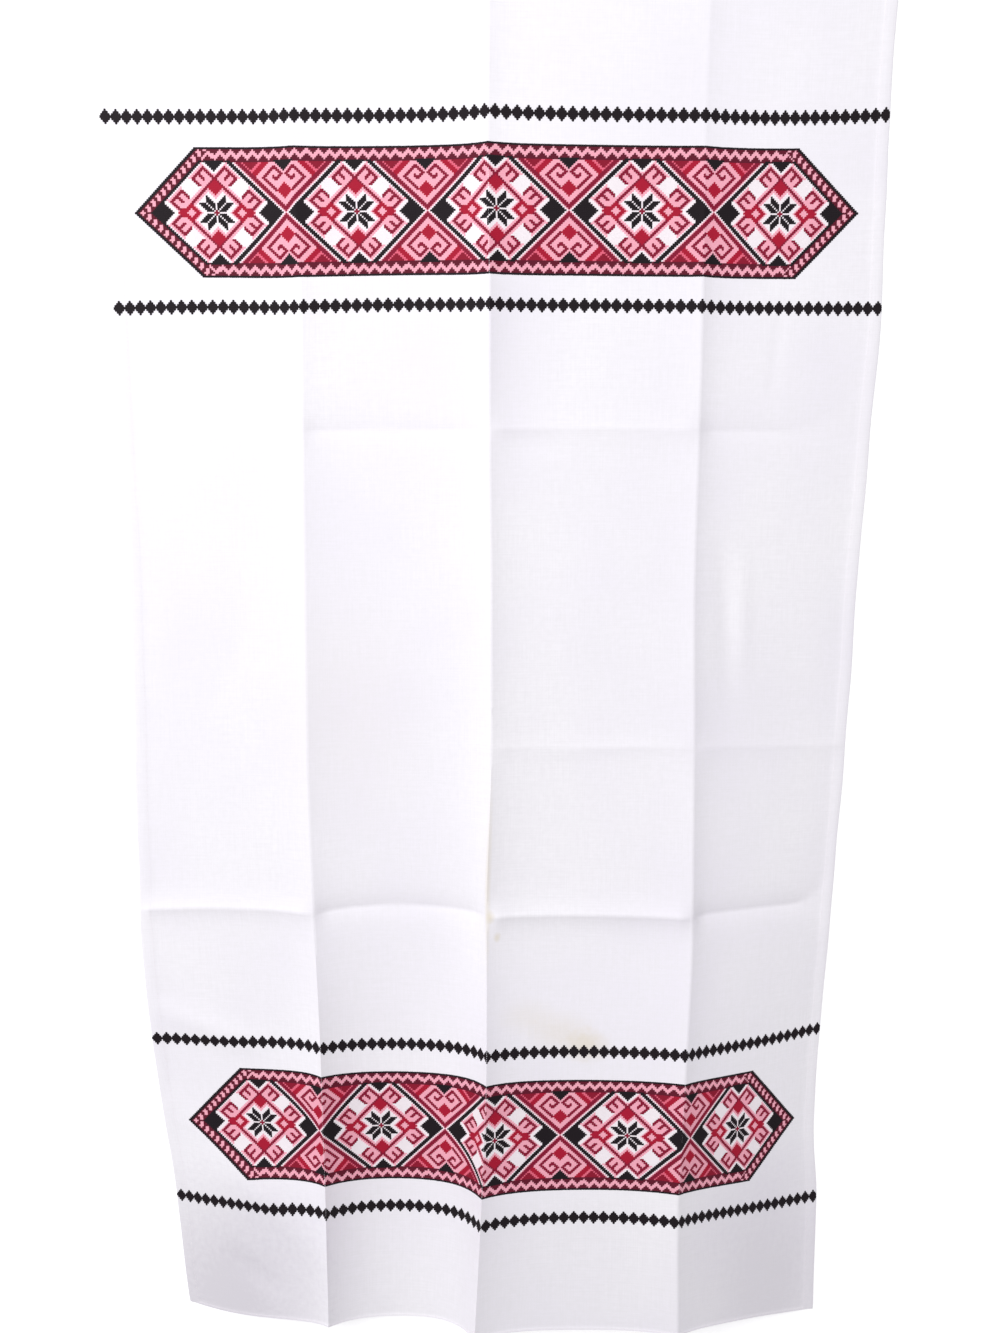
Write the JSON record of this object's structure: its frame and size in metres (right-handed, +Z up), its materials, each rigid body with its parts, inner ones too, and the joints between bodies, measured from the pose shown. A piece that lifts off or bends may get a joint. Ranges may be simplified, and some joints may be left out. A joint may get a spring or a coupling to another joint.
{
  "type": "embroidered tablecloth",
  "caption": "Narrow hemmed white cloth laid out face up, with raised fold lines, a long hexagonal band of geometric red and black embroidery at each end and a dotted line each side of it.",
  "frame": {"origin": "centre of the cloth's bounding box, on the surface that it lies on", "axes": "+Y along the cloth's length, towards its flatter end; +X across its width, to the right as seen from above; +Z up, out of the embroidered face"},
  "size_m": [0.492, 0.863, 0.0389],
  "materials": {
    "linen": "matt plain weave, white with a faint cool cast, embroidered in black, crimson, wine and pale pink thread"
  },
  "bodies": {
    "root": {"tablecloth": "linen"}
  },
  "joints": []
}
